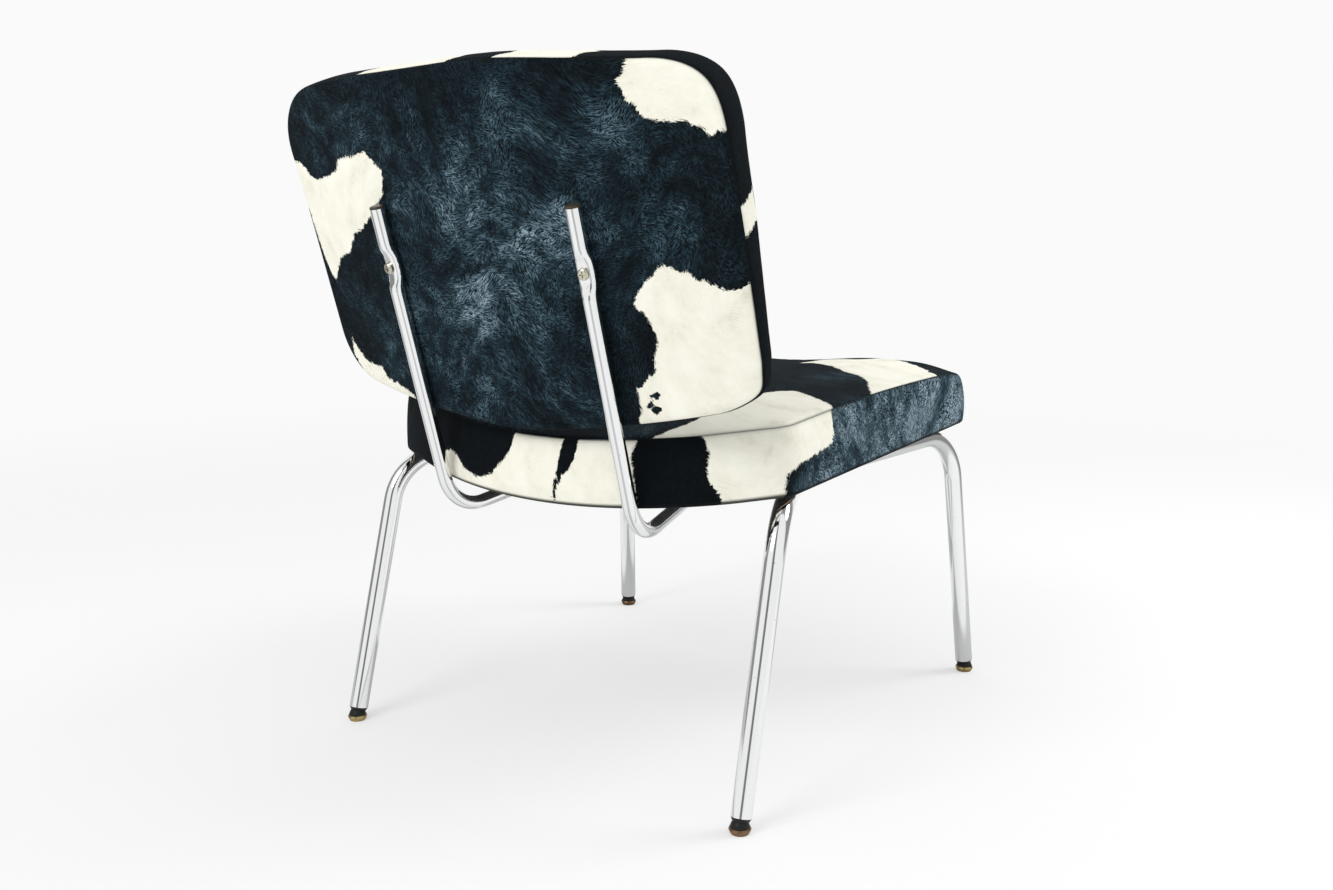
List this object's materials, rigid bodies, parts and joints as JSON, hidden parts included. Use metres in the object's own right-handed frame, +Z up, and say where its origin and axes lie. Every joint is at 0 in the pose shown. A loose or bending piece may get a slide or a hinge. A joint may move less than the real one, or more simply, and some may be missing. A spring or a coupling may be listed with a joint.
{
  "type": "lounge chair",
  "caption": "Low armless lounge chair with a bent chrome tube frame, a cow-print padded seat, a curved padded back and swivel glides.",
  "frame": {"origin": "on the floor under the middle of the chair's length and width", "axes": "+Z up; the chair faces -Y; +X is the sitter's left"},
  "size_m": [0.5782, 0.7058, 0.7518],
  "materials": {
    "chrome": "bright plated",
    "steel": "zinc plated",
    "black_plastic": "satin",
    "brass": "worn",
    "plywood": "raw",
    "hide_cloth": "short pile with a cow print",
    "foam": "open cell",
    "dust_cloth": "thin woven"
  },
  "bodies": {
    "chair": {"left_side_frame": "chrome", "right_side_frame": "chrome", "left_back_support": "chrome", "right_back_support": "chrome", "front_cross_tube": "steel", "rear_cross_rod": "steel", "seat_screws": "steel", "seat_tee_nuts": "steel", "back_screws": "steel", "back_tee_nuts": "steel", "rear_left_seat_tab": "steel", "rear_left_ball_stud": "steel", "rear_right_seat_tab": "steel", "rear_right_ball_stud": "steel", "front_left_seat_tab": "steel", "front_left_ball_stud": "steel", "front_right_seat_tab": "steel", "front_right_ball_stud": "steel", "left_top_plug": "black_plastic", "right_top_plug": "black_plastic", "rear_left_glide_insert": "black_plastic", "rear_right_glide_insert": "black_plastic", "front_left_glide_insert": "black_plastic", "front_right_glide_insert": "black_plastic", "seat_board": "plywood", "back_board": "plywood", "seat_side_band": "hide_cloth", "seat_top_panel": "hide_cloth", "back_rear_panel": "hide_cloth", "back_side_band": "hide_cloth", "back_front_panel": "hide_cloth", "seat_foam": "foam", "back_foam": "foam", "seat_dust_cover": "dust_cloth"},
    "rear_left_socket": {"rear_left_glide_socket": "black_plastic"},
    "rear_left_foot": {"rear_left_glide_base": "brass"},
    "rear_right_socket": {"rear_right_glide_socket": "black_plastic"},
    "rear_right_foot": {"rear_right_glide_base": "brass"},
    "front_left_socket": {"front_left_glide_socket": "black_plastic"},
    "front_left_foot": {"front_left_glide_base": "brass"},
    "front_right_socket": {"front_right_glide_socket": "black_plastic"},
    "front_right_foot": {"front_right_glide_base": "brass"}
  },
  "joints": [
    {"name": "rear_left_glide_pitch", "type": "hinge", "parent": "chair", "child": "rear_left_socket", "pos_m": [0.27, 0.2378, 0.006], "axis": [1, 0, 0], "range_deg": [-6, 20]},
    {"name": "rear_left_glide_roll", "type": "hinge", "parent": "rear_left_socket", "child": "rear_left_foot", "pos_m": [0.27, 0.2378, 0.006], "axis": [0, 1, 0], "range_deg": [-8, 8]},
    {"name": "rear_right_glide_pitch", "type": "hinge", "parent": "chair", "child": "rear_right_socket", "pos_m": [-0.27, 0.2378, 0.006], "axis": [1, 0, 0], "range_deg": [-6, 20]},
    {"name": "rear_right_glide_roll", "type": "hinge", "parent": "rear_right_socket", "child": "rear_right_foot", "pos_m": [-0.27, 0.2378, 0.006], "axis": [0, 1, 0], "range_deg": [-8, 8]},
    {"name": "front_left_glide_pitch", "type": "hinge", "parent": "chair", "child": "front_left_socket", "pos_m": [0.2776, -0.3414, 0.006], "axis": [1, 0, 0], "range_deg": [-20, 12]},
    {"name": "front_left_glide_roll", "type": "hinge", "parent": "front_left_socket", "child": "front_left_foot", "pos_m": [0.2776, -0.3414, 0.006], "axis": [0, 1, 0], "range_deg": [-8, 8]},
    {"name": "front_right_glide_pitch", "type": "hinge", "parent": "chair", "child": "front_right_socket", "pos_m": [-0.2776, -0.3414, 0.006], "axis": [1, 0, 0], "range_deg": [-20, 12]},
    {"name": "front_right_glide_roll", "type": "hinge", "parent": "front_right_socket", "child": "front_right_foot", "pos_m": [-0.2776, -0.3414, 0.006], "axis": [0, 1, 0], "range_deg": [-8, 8]}
  ]
}
